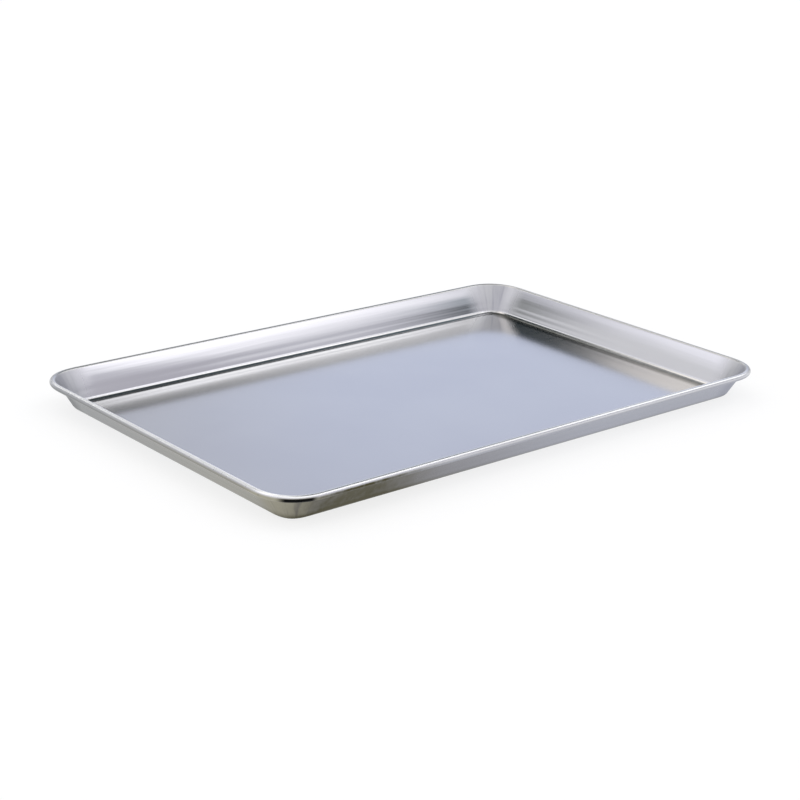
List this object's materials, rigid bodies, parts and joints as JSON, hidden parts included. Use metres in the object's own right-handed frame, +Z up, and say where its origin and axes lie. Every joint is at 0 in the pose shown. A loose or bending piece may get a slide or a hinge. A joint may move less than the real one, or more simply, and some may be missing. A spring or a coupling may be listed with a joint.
{
  "type": "oven tray",
  "caption": "Shallow rectangular oven tray pressed from aluminium sheet, with sloping walls, rounded corners and a rim curled round a steel wire, for baking and roasting.",
  "frame": {"origin": "middle of the floor's flat underside, on the surface that the tray stands on", "axes": "+X along the long side, +Y along the short side, +Z up out of the tray"},
  "size_m": [0.6, 0.4, 0.03],
  "materials": {
    "pan_aluminium": "satin mill finish with rolling grain and light scuffs",
    "wire_steel": "dull galvanised"
  },
  "bodies": {
    "root": {"tray_pan": "pan_aluminium", "rim_wire": "wire_steel"}
  },
  "joints": []
}
